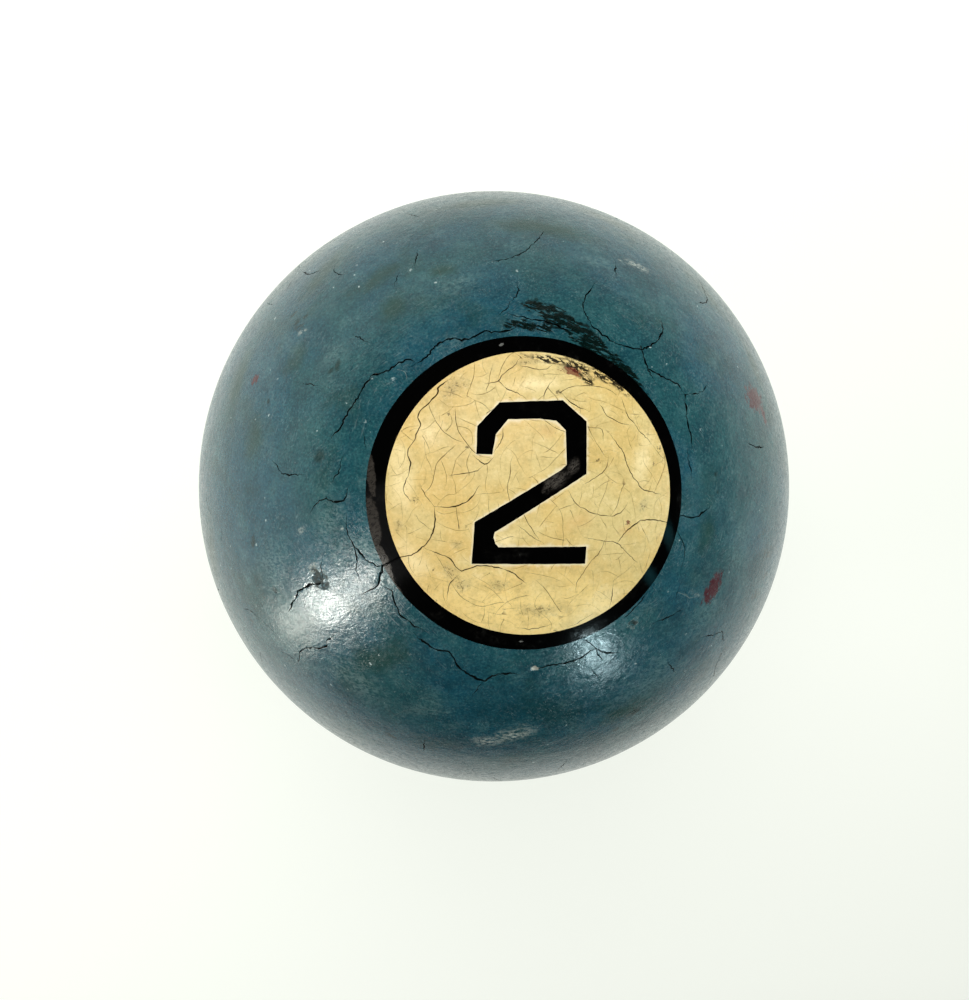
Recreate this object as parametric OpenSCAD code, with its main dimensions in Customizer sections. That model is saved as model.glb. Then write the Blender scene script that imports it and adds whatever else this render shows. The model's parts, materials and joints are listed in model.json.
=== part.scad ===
// Numbered pool ball of the old composition kind.
// A blue covering is moulded round a plain inner core. At each end of one axis a
// cream disc, a black ring and a black numeral are let into the covering.
// Millimetres. The origin is the centre of the ball, +Z comes out through the
// middle of the upper numeral disc, and +Y points to the top of that numeral.

/* [Ball] */
// Diameter of the ball
ball_d = 57.15; // [54:0.05:60]
// Diameter of the inner core
core_d = 38; // [30:0.5:42]

/* [Number disc] */
// Outer diameter of the black ring
ring_d = 25.7; // [24.8:0.1:27]
// Diameter of the cream disc inside the ring
disc_d = 23.05; // [20:0.05:23.6]
// How far the disc sits off the ring's centre, towards +X
disc_shift = 0.23; // [0:0.01:0.3]
// Depth of the ring and the disc below the top of the disc
inlay_depth = 5.5; // [4.5:0.1:6]

/* [Numeral] */
// Width of the numeral across its foot
numeral_w = 9.15; // [7.5:0.05:10]
// Depth of the numeral below the top of the disc
numeral_depth = 3; // [2.5:0.1:3.5]

/* [Hidden] */
$fn = 96;
ball_r = ball_d / 2;
core_r = core_d / 2;
// Length of a cutter that runs from inside the ball to well above its surface
reach = ball_r;
// Corners of the angular numeral 2, drawn for a foot 9.15 wide and measured
// from the middle of the cream disc, clockwise from the top left corner
drawn_w = 9.15;
numeral_points = [
    [-2.55, 7.3], [2.55, 7.5], [4.45, 5.8], [4.35, 1.6],
    [-3, -3], [-3.1, -3.4], [-2.95, -3.9], [-2.7, -4.2], [4.4, -4.2], [4.35, -5.6],
    [-4.8, -5.55], [-4.6, -2.2], [2.25, 1.9], [2.75, 2.35], [2.7, 5.1], [1.95, 5.85],
    [0.6, 6], [-1.9, 5.95], [-2.9, 4.75], [-3.2, 3.15], [-4.45, 3.2], [-4.35, 5.4]
];

// The whole ball, without its divisions
module ball() {
    sphere(r = ball_r);
}

// A round cutter on the Z axis, from the given depth below the ball's top upwards
module round_cutter(d, depth) {
    translate([0, 0, ball_r - depth])
        cylinder(d = d, h = reach);
}

// The cutter of the cream disc, a little off the ring's centre
module disc_cutter() {
    translate([disc_shift, 0, 0])
        round_cutter(disc_d, inlay_depth);
}

// The numeral as an upright prism
module numeral_cutter() {
    translate([disc_shift, 0, ball_r - numeral_depth])
        linear_extrude(height = reach)
            scale(numeral_w / drawn_w)
                polygon(numeral_points);
}

// Black ring, with the ball's own curve on its face
module ring() {
    color([0.05, 0.05, 0.05])
        difference() {
            intersection() {
                ball();
                round_cutter(ring_d, inlay_depth);
            }
            disc_cutter();
        }
}

// Cream disc, with the numeral's pocket in its face
module disc() {
    color([0.86, 0.74, 0.46])
        difference() {
            intersection() {
                ball();
                disc_cutter();
            }
            numeral_cutter();
        }
}

// Black numeral that fills its pocket
module numeral() {
    color([0.06, 0.06, 0.06])
        intersection() {
            ball();
            numeral_cutter();
        }
}

// Turns a piece of the upper number disc over to the lower one
module turned_over() {
    rotate([180, 0, 0])
        children();
}

// Inner core of the ball
module core() {
    color([0.45, 0.36, 0.27])
        sphere(r = core_r);
}

// Blue covering, with a round socket at each end for the number discs
module cover() {
    color([0.2, 0.36, 0.42])
        difference() {
            ball();
            sphere(r = core_r);
            round_cutter(ring_d, inlay_depth);
            turned_over()
                round_cutter(ring_d, inlay_depth);
        }
}

module top_ring() {
    ring();
}

module top_disc() {
    disc();
}

module top_numeral() {
    numeral();
}

module bottom_ring() {
    turned_over()
        ring();
}

module bottom_disc() {
    turned_over()
        disc();
}

module bottom_numeral() {
    turned_over()
        numeral();
}

core();
cover();
top_ring();
top_disc();
top_numeral();
bottom_ring();
bottom_disc();
bottom_numeral();
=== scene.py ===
"""Looks of the numbered pool ball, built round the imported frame.

Lengths are millimetres, except for the floor and the lights, which are set out in
metres. The origin is the ball's centre, +Z comes out through the upper number disc and
+Y points to the top of its numeral. A map place (x, y) is measured along the ball's
surface from the middle of the upper disc, +x to the numeral's right and +y to its top.
"""
import json
import math
import random
from collections import namedtuple
from itertools import product

import bmesh
import bpy
import numpy as np
from mathutils import Matrix, Vector, kdtree, noise
from mathutils.geometry import delaunay_2d_cdt


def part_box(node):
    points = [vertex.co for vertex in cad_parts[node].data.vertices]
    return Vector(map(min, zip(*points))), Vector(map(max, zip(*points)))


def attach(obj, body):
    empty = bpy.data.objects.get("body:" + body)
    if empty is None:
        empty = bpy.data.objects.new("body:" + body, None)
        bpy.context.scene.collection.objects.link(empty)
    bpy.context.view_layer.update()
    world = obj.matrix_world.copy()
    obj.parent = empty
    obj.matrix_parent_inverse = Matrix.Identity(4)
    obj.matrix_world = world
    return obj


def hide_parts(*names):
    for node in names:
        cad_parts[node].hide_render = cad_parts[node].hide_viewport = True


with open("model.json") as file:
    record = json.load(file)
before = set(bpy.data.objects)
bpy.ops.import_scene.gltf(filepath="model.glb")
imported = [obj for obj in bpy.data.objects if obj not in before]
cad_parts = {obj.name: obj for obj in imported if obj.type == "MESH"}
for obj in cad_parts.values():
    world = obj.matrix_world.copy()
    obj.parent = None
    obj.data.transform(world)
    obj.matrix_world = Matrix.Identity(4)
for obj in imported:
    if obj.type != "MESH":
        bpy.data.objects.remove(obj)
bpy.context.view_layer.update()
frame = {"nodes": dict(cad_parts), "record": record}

# ---------------------------------------------------------------- sizes
MM = 0.001
BALL_R = max(frame["record"]["size"]["bbox_m"]) / 2 / MM
RING_R = (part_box("top_ring")[1].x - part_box("top_ring")[0].x) / 2 / MM
DISC_R = (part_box("top_disc")[1].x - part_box("top_disc")[0].x) / 2 / MM
DISC_SHIFT = (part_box("top_disc")[1].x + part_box("top_disc")[0].x) / 2 / MM
SOCKET_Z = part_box("top_ring")[0].z / MM
POCKET_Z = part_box("top_numeral")[0].z / MM
CAVITY_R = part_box("core")[1].z / MM
# The number disc was cut by hand, a little wider than tall
OVAL = 0.0075
# Spacing of the points on the covering, on the discs, and along outlines and cracks
BASE_STEP = 0.56
DISC_STEP = 0.42
OUTLINE_STEP = 0.22
CRACK_STEP = 0.19
HAIR_STEP = 0.17
CHIP_STEP = 0.08
# How deep the slight waves of the surface are
WAVE_DEPTH = 0.035
# How far from a groove's middle its points are looked for
GROOVE_REACH = 0.34
# Each point's share of an even net of points, in squares of its step
NET_SHARE = 0.866
# Width of the paler cream along the numeral's edges
MARGIN = 0.22
CAMERA_DISTANCE = 5 * BALL_R
# How far from a patch its mark on the mesh ends, in sizes of the patch
FAR = 2.5
# The corners of the numeral, as in the CAD model, measured from the disc's middle
NUMERAL = [
    (-2.55, 7.3), (2.55, 7.5), (4.45, 5.8), (4.35, 1.6),
    (-3, -3), (-3.1, -3.4), (-2.95, -3.9), (-2.7, -4.2), (4.4, -4.2), (4.35, -5.6),
    (-4.8, -5.55), (-4.6, -2.2), (2.25, 1.9), (2.75, 2.35), (2.7, 5.1), (1.95, 5.85),
    (0.6, 6), (-1.9, 5.95), (-2.9, 4.75), (-3.2, 3.15), (-4.45, 3.2), (-4.35, 5.4),
]


# ---------------------------------------------------------------- places on the ball
def place(x, y):
    """The direction of a map place from the ball's centre."""
    arc = math.hypot(x, y)
    side = math.sin(arc / BALL_R) / arc if arc else 0
    return Vector((x * side, y * side, math.cos(arc / BALL_R)))


def above(x, y):
    """The direction of the surface point straight above x, y."""
    return Vector((x, y, math.sqrt(BALL_R ** 2 - x * x - y * y))) / BALL_R


def turned(p):
    """The same direction on the ball turned over, as the lower number disc is."""
    return Vector((p.x, -p.y, -p.z))


def to_chart(p):
    """The flat chart of the ball seen from its lowest point, which keeps all angles."""
    return Vector((p.x, p.y)) / (1 + p.z)


def from_chart(c):
    q = c.x * c.x + c.y * c.y
    return Vector((2 * c.x, 2 * c.y, 1 - q)) / (1 + q)


def tree_of(points):
    """A search tree of some points."""
    tree = kdtree.KDTree(len(points))
    for i, p in enumerate(points):
        tree.insert(p, i)
    tree.balance()
    return tree


def within(loop, spots):
    """Which of some flat spots lie inside a closed loop of corners."""
    x, y = spots[:, 0], spots[:, 1]
    inside = np.zeros(len(spots), bool)
    for a, b in zip(loop, loop[1:] + loop[:1]):
        if a[1] != b[1]:
            crosses = (a[1] > y) != (b[1] > y)
            inside ^= crosses & (x < (b[0] - a[0]) * (y - a[1]) / (b[1] - a[1]) + a[0])
    return inside


def oval(radius, shift, seed):
    """A hand-cut oval round the number disc, as directions."""
    count = int(2 * math.pi * radius / OUTLINE_STEP)
    loop = []
    for i in range(count):
        a = 2 * math.pi * i / count
        wobble = 1 + 0.0016 * noise.noise((9 * math.cos(a), 9 * math.sin(a), seed))
        x = radius * (1 + OVAL) * wobble * math.cos(a)
        y = radius * (1 - OVAL) * wobble * math.sin(a)
        loop.append(above(x + shift, y))
    return loop


def numeral_outline(seed):
    """The numeral's outline as directions, with slightly uneven cut edges."""
    loop = []
    for k, start in enumerate(NUMERAL):
        a = Vector(start)
        b = Vector(NUMERAL[(k + 1) % len(NUMERAL)])
        count = max(1, round((b - a).length / OUTLINE_STEP))
        across = Vector((a.y - b.y, b.x - a.x)).normalized()
        for i in range(count):
            p = a.lerp(b, i / count)
            if i:
                p += across * 0.022 * noise.noise((2.2 * p.x, 2.2 * p.y, seed))
            loop.append(above(p.x + DISC_SHIFT, p.y))
    return loop


# ---------------------------------------------------------------- cracks
# line: directions; halves: half widths; depth; dark: how dark the dirt in it is, or
# how pale a scratch is, where below zero; worn: whether its lips are worn
Crack = namedtuple("Crack", "line halves depth dark worn")


def smooth_line(points, step):
    """A smooth line through points, evenly spaced."""
    padded = [2 * points[0] - points[1]] + points + [2 * points[-1] - points[-2]]
    fine = []
    for a, b, c, d in zip(padded, padded[1:], padded[2:], padded[3:]):
        for i in range(12):
            t = i / 12
            fine.append(0.5 * (2 * b + (c - a) * t + (2 * a - 5 * b + 4 * c - d) * t * t
                               + (3 * b - a - 3 * c + d) * t ** 3))
    fine.append(points[-1])
    even = [fine[0]]
    left = step
    for a, b in zip(fine, fine[1:]):
        gap = (b - a).length
        while gap > left:
            a = a.lerp(b, left / gap)
            even.append(a)
            gap = (b - a).length
            left = step
        left -= gap
    even.append(fine[-1])
    return even


def jagged(line, wander, seed):
    """Shifts a map line sideways a little, more in the middle than at its ends."""
    out = []
    for i, p in enumerate(line):
        ahead = line[min(i + 1, len(line) - 1)] - line[max(i - 1, 0)]
        across = Vector((-ahead.y, ahead.x)).normalized()
        far = min(i, len(line) - 1 - i) / 3
        slow = noise.noise((0.9 * p.x, 0.9 * p.y, seed))
        quick = noise.noise((2.6 * p.x, 2.6 * p.y, seed + 7))
        sharp = noise.noise((6.5 * p.x, 6.5 * p.y, seed + 3))
        out.append(p + across * wander * min(1, far) * (slow + 0.7 * quick + 0.9 * sharp))
    return out


def openness(count, closed_start, closed_end, seed):
    """How open a crack is along its length: uneven, and closing at its tips."""
    tip = 5
    out = []
    for i in range(count):
        start = min(1, (i + 0.3) / tip) if closed_start else 1
        end = min(1, (count - 1 - i + 0.3) / tip) if closed_end else 1
        out.append(start * end * (0.75 + 0.75 * noise.noise((0.35 * i, seed, 0.5))))
    return out


def drawn_line(places, half, wander, seed, least, open_start):
    """The directions and the half widths of a line through given map places."""
    line = smooth_line([Vector(p) for p in places], CRACK_STEP)
    line = jagged(line, wander, seed)
    opened = openness(len(line), not open_start, True, seed)
    return [place(p.x, p.y) for p in line], [half * max(least, h) for h in opened]


def drawn_crack(places, half, wander=0.16, dark=1, joined=False):
    """A crack through map places. A joined one starts on another crack."""
    seed = places[0][0] * 3.7 + places[0][1]
    line, halves = drawn_line(places, half, wander, seed, 0.15, joined)
    return Crack(line, halves, 2.2 * half, dark, True)


def drawn_scratch(places, half, pale):
    """A pale scratch through map places: its darkness is below zero."""
    seed = places[0][0] * 2.3 + places[0][1]
    line, halves = drawn_line(places, half, 0.1, seed, 0.5, False)
    return Crack(line, halves, 0.0, -pale, False)


class Web:
    """Grows cracks over the ball that stop where they meet another one."""

    # Size of the cells that points are kept in, and so how far a crack looks round
    CELL = 0.9
    # A new branch needs this much room at this distance from where it starts
    ROOM = 0.55
    AHEAD = 0.75

    def __init__(self, seed):
        self.random = random.Random(seed)
        self.cells = {}
        self.lines = []

    def cell(self, p):
        return tuple(int(math.floor(BALL_R * v / self.CELL)) for v in p)

    def remember(self, line):
        self.lines.append(line)
        for p in line:
            self.cells.setdefault(self.cell(p), []).append(p)

    def nearest(self, p):
        """The nearest crack point and its gap in millimetres, looking one cell round."""
        best, found = self.CELL, None
        cx, cy, cz = self.cell(p)
        for dx, dy, dz in product((-1, 0, 1), repeat=3):
            for q in self.cells.get((cx + dx, cy + dy, cz + dz), ()):
                gap = (p - q).length * BALL_R
                if gap < best:
                    best, found = gap, q
        return best, found

    def start(self, zone, branching):
        """Where and which way a new crack starts: off an old one, or in the widest gap."""
        while True:
            if self.lines and self.random.random() < branching:
                line = self.random.choice(self.lines)
                i = self.random.randrange(len(line) - 1)
                p = line[i]
                ahead = p.cross(line[i + 1] - p).normalized()
                ahead *= self.random.choice((-1, 1))
                turn = Matrix.Rotation(self.random.gauss(0, 0.45), 3, p)
                ahead = (turn @ ahead).normalized()
                beyond = (p + ahead * (self.AHEAD / BALL_R)).normalized()
                if not zone(p) or self.nearest(beyond)[0] < self.ROOM:
                    continue
                return p, ahead
            tries = [Vector([self.random.gauss(0, 1) for _ in range(3)]).normalized()
                     for _ in range(400)]
            tries = [p for p in tries if zone(p)][:7]
            if tries:
                p = max(tries, key=lambda q: self.nearest(q)[0])
                ahead = p.cross(Vector([self.random.gauss(0, 1) for _ in range(3)]))
                return p, ahead.normalized()

    def grow(self, zone, length, bend, step, branching):
        """One new crack's line, or None where there was no room for it."""
        p, ahead = self.start(zone, branching)
        turning = self.random.gauss(0, bend)
        line = [p.copy()]
        # Its first points may lie close to the crack that it branches from
        free = 3
        for i in range(int(length / step)):
            turning = 0.9 * turning + self.random.gauss(0, 0.35 * bend)
            angle = step / BALL_R
            p, ahead = (p * math.cos(angle) + ahead * math.sin(angle),
                        ahead * math.cos(angle) - p * math.sin(angle))
            kink = turning * step + self.random.gauss(0, 0.09)
            ahead = Matrix.Rotation(kink, 3, p) @ ahead
            if not zone(p):
                break
            gap, met = self.nearest(p) if i >= free else (self.CELL, None)
            if gap < 0.8 * step:
                line.append(met.copy())
                break
            line.append(p.copy())
        if len(line) < 5:
            return None
        self.remember(line)
        return line

    def crazing(self, zone, count, lengths, half, dark, bend, branching,
                step=HAIR_STEP, worn=False, deep=1.5):
        """Many cracks of one kind, the long ones first."""
        cracks = []
        for i in range(count):
            share = i / max(1, count - 1)
            length = lengths[0] + (lengths[1] - lengths[0]) * share ** 0.6
            length *= self.random.uniform(0.7, 1.3)
            line = self.grow(zone, length, bend, step, branching)
            if line is None:
                continue
            size = half * self.random.uniform(0.6, 1.3)
            shade = dark * self.random.uniform(0.55, 1.15)
            opened = openness(len(line), False, True, i * 1.7)
            halves = [size * max(0.3, h) for h in opened]
            cracks.append(Crack(line, halves, deep * size, shade, worn))
        return cracks


# Long open cracks in the blue covering round the upper disc, by map place
BLUE_CRACKS = [
    (0.085, False, [(-16.8, 4.6), (-15.8, 5.8), (-14.4, 8.2), (-13.2, 10), (-11.8, 10.4), (-9.8, 11.4),
        (-9.4, 11.1)]),
    (0.09, False, [(-9.3, 10.9), (-8.3, 11.6), (-7.4, 12.6), (-6.2, 13.1), (-4.8, 13), (-3.6, 13.6),
        (-2.2, 13.6), (-0.8, 14)]),
    (0.075, False, [(-1.4, 15.4), (0.8, 14.8), (2, 14.6), (3.4, 14), (4.8, 13.6)]),
    (0.075, False, [(6.8, 19), (5.6, 17.2), (5.4, 16), (6, 14.4), (7.4, 13.2), (9, 12.6), (10.4, 12.6),
        (11.8, 13.2), (13, 14.6), (13.1, 16)]),
    (0.085, True, [(10.4, 12.6), (10.6, 11.4), (10.8, 10.6), (11.3, 9.6)]),
    (0.085, True, [(10.8, 10.7), (12, 10.2), (13.6, 9.6), (14.4, 8.6)]),
    (0.05, True, [(14.4, 8.6), (16.2, 9), (17.6, 10)]),
    (0.095, True, [(14.4, 8.6), (14.4, 6.6), (14.7, 4.1)]),
    (0.06, False, [(14.1, 4), (14.2, 2.8), (14.5, 1.2)]),
    (0.06, False, [(3, 26), (2.2, 24.6), (1, 23), (-0.2, 22), (-2.6, 21.2)]),
    (0.045, False, [(-0.4, 18.8), (-0.4, 17.6), (-1.2, 16.4), (-2.4, 15)]),
    (0.085, False, [(-18.8, -1.8), (-18.2, -1), (-17.2, -0.4), (-16.2, -0.7), (-15.3, -0.4), (-15, 0.6)]),
    (0.05, False, [(-15.2, -1.8), (-15.2, -3), (-14.8, -4)]),
    (0.07, True, [(-14.8, -4), (-14.1, -5), (-13.2, -5.8), (-12.4, -6.1), (-11.6, -5.9)]),
    (0.05, True, [(-14.8, -4), (-14.4, -5), (-14.4, -6.2), (-14.2, -7.3)]),
    (0.1, True, [(-12, -6), (-12.2, -6.9), (-12.7, -8), (-13.9, -8.7)]),
    (0.075, False, [(-12.3, -7.7), (-11.3, -8.2), (-11, -9.4), (-10.4, -10.4), (-9.6, -11),
        (-8.6, -11.7)]),
    (0.095, False, [(-9.4, -12), (-8.6, -12.8), (-7.4, -13.4), (-6.4, -13.6), (-5.8, -14.8), (-4.8, -15.8),
        (-3.4, -16.4), (-2.6, -15.8), (-1.6, -15.6), (-0.4, -15.7)]),
    (0.06, True, [(-3.4, -16.4), (-4.3, -18)]),
    (0.085, False, [(1, -15.2), (2.6, -14.8), (4, -14.6), (5.2, -14.1), (6.2, -13.4)]),
    (0.085, True, [(6.2, -13.4), (7, -13.8), (8.4, -14)]),
    (0.06, True, [(6.2, -13.4), (5.1, -12.3)]),
    (0.06, True, [(6.2, -13.4), (7, -14.7)]),
    (0.07, False, [(6.1, -15.5), (7.1, -16.8)]),
    (0.11, True, [(-18.2, -8.2), (-20.2, -8.9), (-21, -10), (-22.1, -11.6)]),
    (0.07, True, [(-17.8, -7.4), (-17.8, -6.2)]),
    (0.085, False, [(-22.2, -17.8), (-21.4, -16), (-20.2, -15.2), (-18.8, -15), (-17.2, -13.2)]),
    (0.06, False, [(14, -7.8), (13.6, -9.4)]),
    (0.075, False, [(13, -1.9), (14.6, -2.2), (15.8, -1.8), (16.8, -1.2)]),
    (0.075, False, [(10.6, -8.2), (9.6, -9.6), (8.4, -10.8)]),
    (0.07, False, [(11.6, -11.5), (13.2, -11), (14.6, -10.5)]),
    (0.06, False, [(14.1, -16), (15.7, -17.8)]),
    (0.055, False, [(17.6, -14), (19.6, -14.2), (21, -14.2), (22, -15.7)]),
    (0.05, False, [(22.8, -16.2), (22.4, -18.8), (23.8, -21.6)]),
    (0.06, False, [(22.2, 23.6), (21.6, 21.2), (21, 20), (19, 19.2)]),
    (0.07, False, [(-24, 25.8), (-22.4, 24.4), (-20.6, 24.2)]),
    (0.06, False, [(-18.8, 24), (-18.6, 23), (-17.2, 22)]),
    (0.065, False, [(-9.6, 23.6), (-9.7, 21.2)]),
    (0.05, False, [(-11.2, 20.8), (-11.6, 19)]),
    (0.055, False, [(-25.4, 25.4), (-25.6, 23.2)]),
    (0.06, False, [(-15.2, 14.3), (-13.6, 13.4)]),
    (0.07, False, [(-23.2, 3), (-21.8, 1.8), (-19.6, 1.6)]),
    (0.065, False, [(-15.5, 3.2), (-15.9, 2), (-16.5, 1)]),
    (0.06, False, [(-13.7, 5.2), (-13.4, 3.8)]),
    (0.035, False, [(-20.6, 10.3), (-18.2, 9.7)]),
    (0.05, False, [(-11.6, 32), (-9.8, 30)]),
    (0.065, False, [(9.8, 22.4), (9.3, 20.2)]),
    (0.065, False, [(22.2, 4.7), (23.6, 4.3), (25.4, 4.4)]),
    (0.05, False, [(-29.6, -13.2), (-28, -13.1), (-26.8, -13.5)]),
    (0.055, False, [(-26.4, -13.6), (-24.6, -14.9)]),
    (0.05, False, [(-24.6, -17), (-22.2, -17.5)]),
    (0.065, False, [(-9, -25), (-9.3, -27.6)]),
    (0.05, False, [(6, -33), (6.3, -29.6)]),
    (0.04, False, [(-31.8, -4.6), (-32.2, -6)]),
]
# Cracks that run through the upper number disc, and on into its ring
DISC_CRACKS = [
    (0.055, False, [(-6.3, 9.5), (-7.2, 8.8), (-7.5, 8.1), (-8.8, 6.8), (-9, 6.3), (-8.8, 5.7),
        (-9.2, 4.5), (-9.8, 3.5), (-9.6, 2.5), (-9.8, 1.5), (-10.2, 0.4), (-9.7, -0.4)]),
    (0.035, False, [(-0.5, 11.3), (-1.1, 10.5), (-2, 9.8), (-2.4, 9.2), (-3.5, 9)]),
    (0.035, True, [(-2.4, 9.2), (-1.8, 8.6), (-1, 8.2), (-0.2, 7.7)]),
    (0.035, False, [(-2.1, 5.4), (-2.2, 4.4), (-2.9, 3.3)]),
    (0.035, False, [(-4.5, 3.1), (-3.6, 2.4), (-2.9, 2.9)]),
    (0.03, False, [(-6.4, 1.5), (-4.4, 1.8), (-3.6, 2.4)]),
    (0.065, True, [(-12, -6), (-11.2, -5.6), (-10.4, -5.2), (-9.4, -4.9), (-8.4, -4.2), (-8, -3.6),
        (-7.6, -2.5), (-7.6, -1.1)]),
    (0.05, True, [(-7.6, -1), (-6.6, -1.05), (-5.9, -0.95), (-5, -0.6), (-4.6, -0.2), (-4.1, 0.6)]),
    (0.04, True, [(-7.6, -1), (-8, -0.5), (-8.7, 0.6)]),
    (0.045, False, [(-8.4, -4.4), (-6.8, -5), (-6.2, -5.4), (-5.5, -6.2), (-4.2, -5.8), (-3, -5.8),
        (-1.6, -6.2), (-0.2, -7.2)]),
    (0.06, False, [(-9, -7.5), (-8.3, -8.5), (-7.4, -9.2), (-6.3, -9.9), (-5.4, -10.4)]),
    (0.03, False, [(-5.6, -6.5), (-6.4, -7.4), (-6.6, -8.7)]),
    (0.04, False, [(2.7, 8.3), (3.2, 7.6), (3.8, 7.2), (5, 6.7)]),
    (0.035, False, [(7.9, 8), (8.4, 6.4), (8.9, 5.9), (9.4, 5.2), (10.5, 4.1)]),
    (0.035, False, [(6.6, 5), (7.8, 3.4), (8.2, 2.2), (9, 1), (9.7, 0.3), (11.3, -0.1)]),
    (0.035, False, [(4.3, 0.7), (5.4, 1.4), (6.2, 2), (6.5, 3)]),
    (0.03, False, [(4.7, 5.4), (6, 5.2), (6.1, 4.4)]),
    (0.025, False, [(2.2, 9.4), (1.4, 8.4), (1.2, 7.4)]),
    (0.03, False, [(-0.7, 10.5), (1.2, 10.2), (2.1, 10.6)]),
    (0.03, False, [(4.5, -3.5), (6.2, -3.8), (7.2, -4), (8, -4.6), (9.3, -5.8)]),
    (0.03, True, [(6.2, -3.8), (5.8, -4.8), (5, -5.6), (4.5, -6.4), (4, -7.2), (3.9, -8)]),
    (0.035, False, [(3.1, 0.3), (3.6, -0.6), (4.4, -1.2), (5.4, -1.6), (6.4, -1.8), (7.4, -1.6),
        (8.1, -0.9)]),
    (0.03, False, [(7.2, -7.2), (7.2, -8.4), (7, -9.8)]),
    (0.03, False, [(3.6, -11.1), (4.4, -10.8), (5.5, -10.1)]),
    (0.03, False, [(-0.9, -11.1), (0.6, -11.2), (2.2, -10.8)]),
    (0.03, False, [(-0.9, -2.5), (0.2, -3.4), (1.1, -3.9)]),
    (0.05, False, [(7.3, -4.1), (8, -3.2), (8.8, -2.6), (9.4, -2.25), (10.4, -2.2), (11.8, -2.4),
        (12.8, -3), (13.7, -4.2), (14, -5.4), (13.7, -7)]),
]


# Pale scratches: half width, paleness, map places
SCRATCHES = [
    (0.03, 0.55, [(-12.4, -22.6), (-11.6, -21.6), (-10.4, -20.8), (-8.8, -20.4), (-6.8, -20.6)]),
    (0.03, 0.4, [(-9.6, -19.4), (-8.2, -18.4), (-6.6, -18.2)]),
    (0.03, 0.45, [(-13.2, -22), (-12.4, -21.4), (-12.2, -20.4)]),
    (0.035, 0.8, [(-10.8, 10.5), (-10.4, 10.4), (-10.1, 10.1), (-10, 9.6)]),
    (0.04, 0.7, [(10.6, 22.6), (11.6, 22.3), (12.8, 22.5), (13.8, 22.1)]),
    (0.04, 0.7, [(10.8, 23), (11.8, 22.8), (12.9, 22.1), (13.4, 21.8)]),
    (0.035, 0.5, [(11.4, 23.8), (12.6, 23.3), (13.6, 23.4)]),
    (0.035, 0.5, [(14.2, 20.9), (15.2, 20.5), (16.2, 20.1)]),
    (0.03, 0.5, [(9, 15.9), (10.1, 15.3), (11.2, 14.6)]),
    (0.03, 0.4, [(9.4, 16.2), (10.6, 15.4), (11.6, 14.8)]),
    (0.04, 0.8, [(13.8, -8.8), (14.5, -9.1), (15.1, -9.4), (15.6, -9.5)]),
    (0.035, 0.6, [(14.4, -8.9), (14.9, -9.3), (15, -9.9)]),
    (0.03, 0.5, [(-16.4, -1), (-15.6, -2), (-15.2, -2.6)]),
    (0.03, 0.45, [(-12.6, -24.8), (-11.4, -24.2), (-9.6, -24.4)]),
    (0.03, 0.4, [(2, -17.6), (4.2, -18.4), (6.8, -18.2)]),
    (0.03, 0.4, [(4.6, -20.4), (6.6, -19.6), (8.8, -19.8)]),
    (0.03, 0.4, [(-8, 21.6), (-7.2, 20), (-7.4, 18.4)]),
    (0.03, 0.35, [(-3.4, 17.8), (-2.6, 16.4), (-1.4, 15.6)]),
    (0.03, 0.35, [(-20, 6.4), (-19.2, 5.2), (-18.8, 3.6)]),
    (0.03, 0.35, [(16.4, 6.2), (16.9, 5), (16.7, 3.8)]),
    (0.03, 0.4, [(24, 2.6), (25.4, 1.4), (26.2, -0.6)]),
    (0.03, 0.35, [(19.6, -2.4), (20.2, -4.8), (20.1, -7.2)]),
]


def on_disc(p):
    """Whether a place lies on the upper number disc, or just over its edge."""
    x = (BALL_R * p.x - DISC_SHIFT) / (DISC_R * (1 + OVAL))
    y = BALL_R * p.y / (DISC_R * (1 - OVAL))
    return p.z > 0 and math.hypot(x, y) < 1.01


def on_far_cover(p):
    """Whether a place lies on the sides or the lower half, where no crack is drawn."""
    return p.z < 0.12 or p.x * p.x + p.y * p.y > 0.86


def on_far_disc(p):
    return on_disc(turned(p))


def across_far_disc(p):
    return p.z < -math.cos((RING_R + 5) / BALL_R)


def make_cracks():
    """All the cracks of the ball, drawn and grown."""
    near = [drawn_crack(places, half, joined=joined)
            for half, joined, places in BLUE_CRACKS]
    near += [drawn_crack(places, half, 0.07, 0.95, joined)
             for half, joined, places in DISC_CRACKS]
    scratches = [drawn_scratch(places, half, pale) for half, pale, places in SCRATCHES]
    branched = {"bend": 0.3, "branching": 0.7}
    crazed = {"bend": 0.42, "branching": 0.8}
    wide = {"step": CRACK_STEP, "worn": True, "deep": 3}
    upper = Web(2)
    for crack in near:
        upper.remember(crack.line)
    fine = upper.crazing(on_disc, 40, (7, 3), 0.032, 0.75, **branched)
    fine += upper.crazing(on_disc, 340, (5, 1.2), 0.026, 0.42, **crazed)
    lower = Web(5)
    fine += lower.crazing(across_far_disc, 7, (12, 6), 0.07, 1, 0.12, 0.3, **wide)
    fine += lower.crazing(on_far_disc, 44, (7, 3), 0.03, 0.75, **branched)
    fine += lower.crazing(on_far_disc, 320, (5, 1.2), 0.026, 0.42, **crazed)
    far = Web(11)
    for line in lower.lines:
        far.remember(line)
    fine += far.crazing(on_far_cover, 26, (13, 6), 0.08, 1, 0.12, 0.3, **wide)
    fine += far.crazing(on_far_cover, 70, (4, 1.6), 0.055, 0.9, 0.3, 0.1, **wide)
    return near + fine + scratches


# Chips: map place, radius, depth, what shows in it (0 dark dirt, 1 pale composition)
CHIPS = [
    ((-18.5, -7.15), 0.36, 0.03, 0),
    ((-18.15, -7.7), 0.62, 0.07, 0),
    ((-17.75, -8.3), 0.42, 0.05, 0),
    ((1, -15.2), 0.3, 0.1, 1),
    ((9.4, -11.2), 0.32, 0.07, 0),
]

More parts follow.
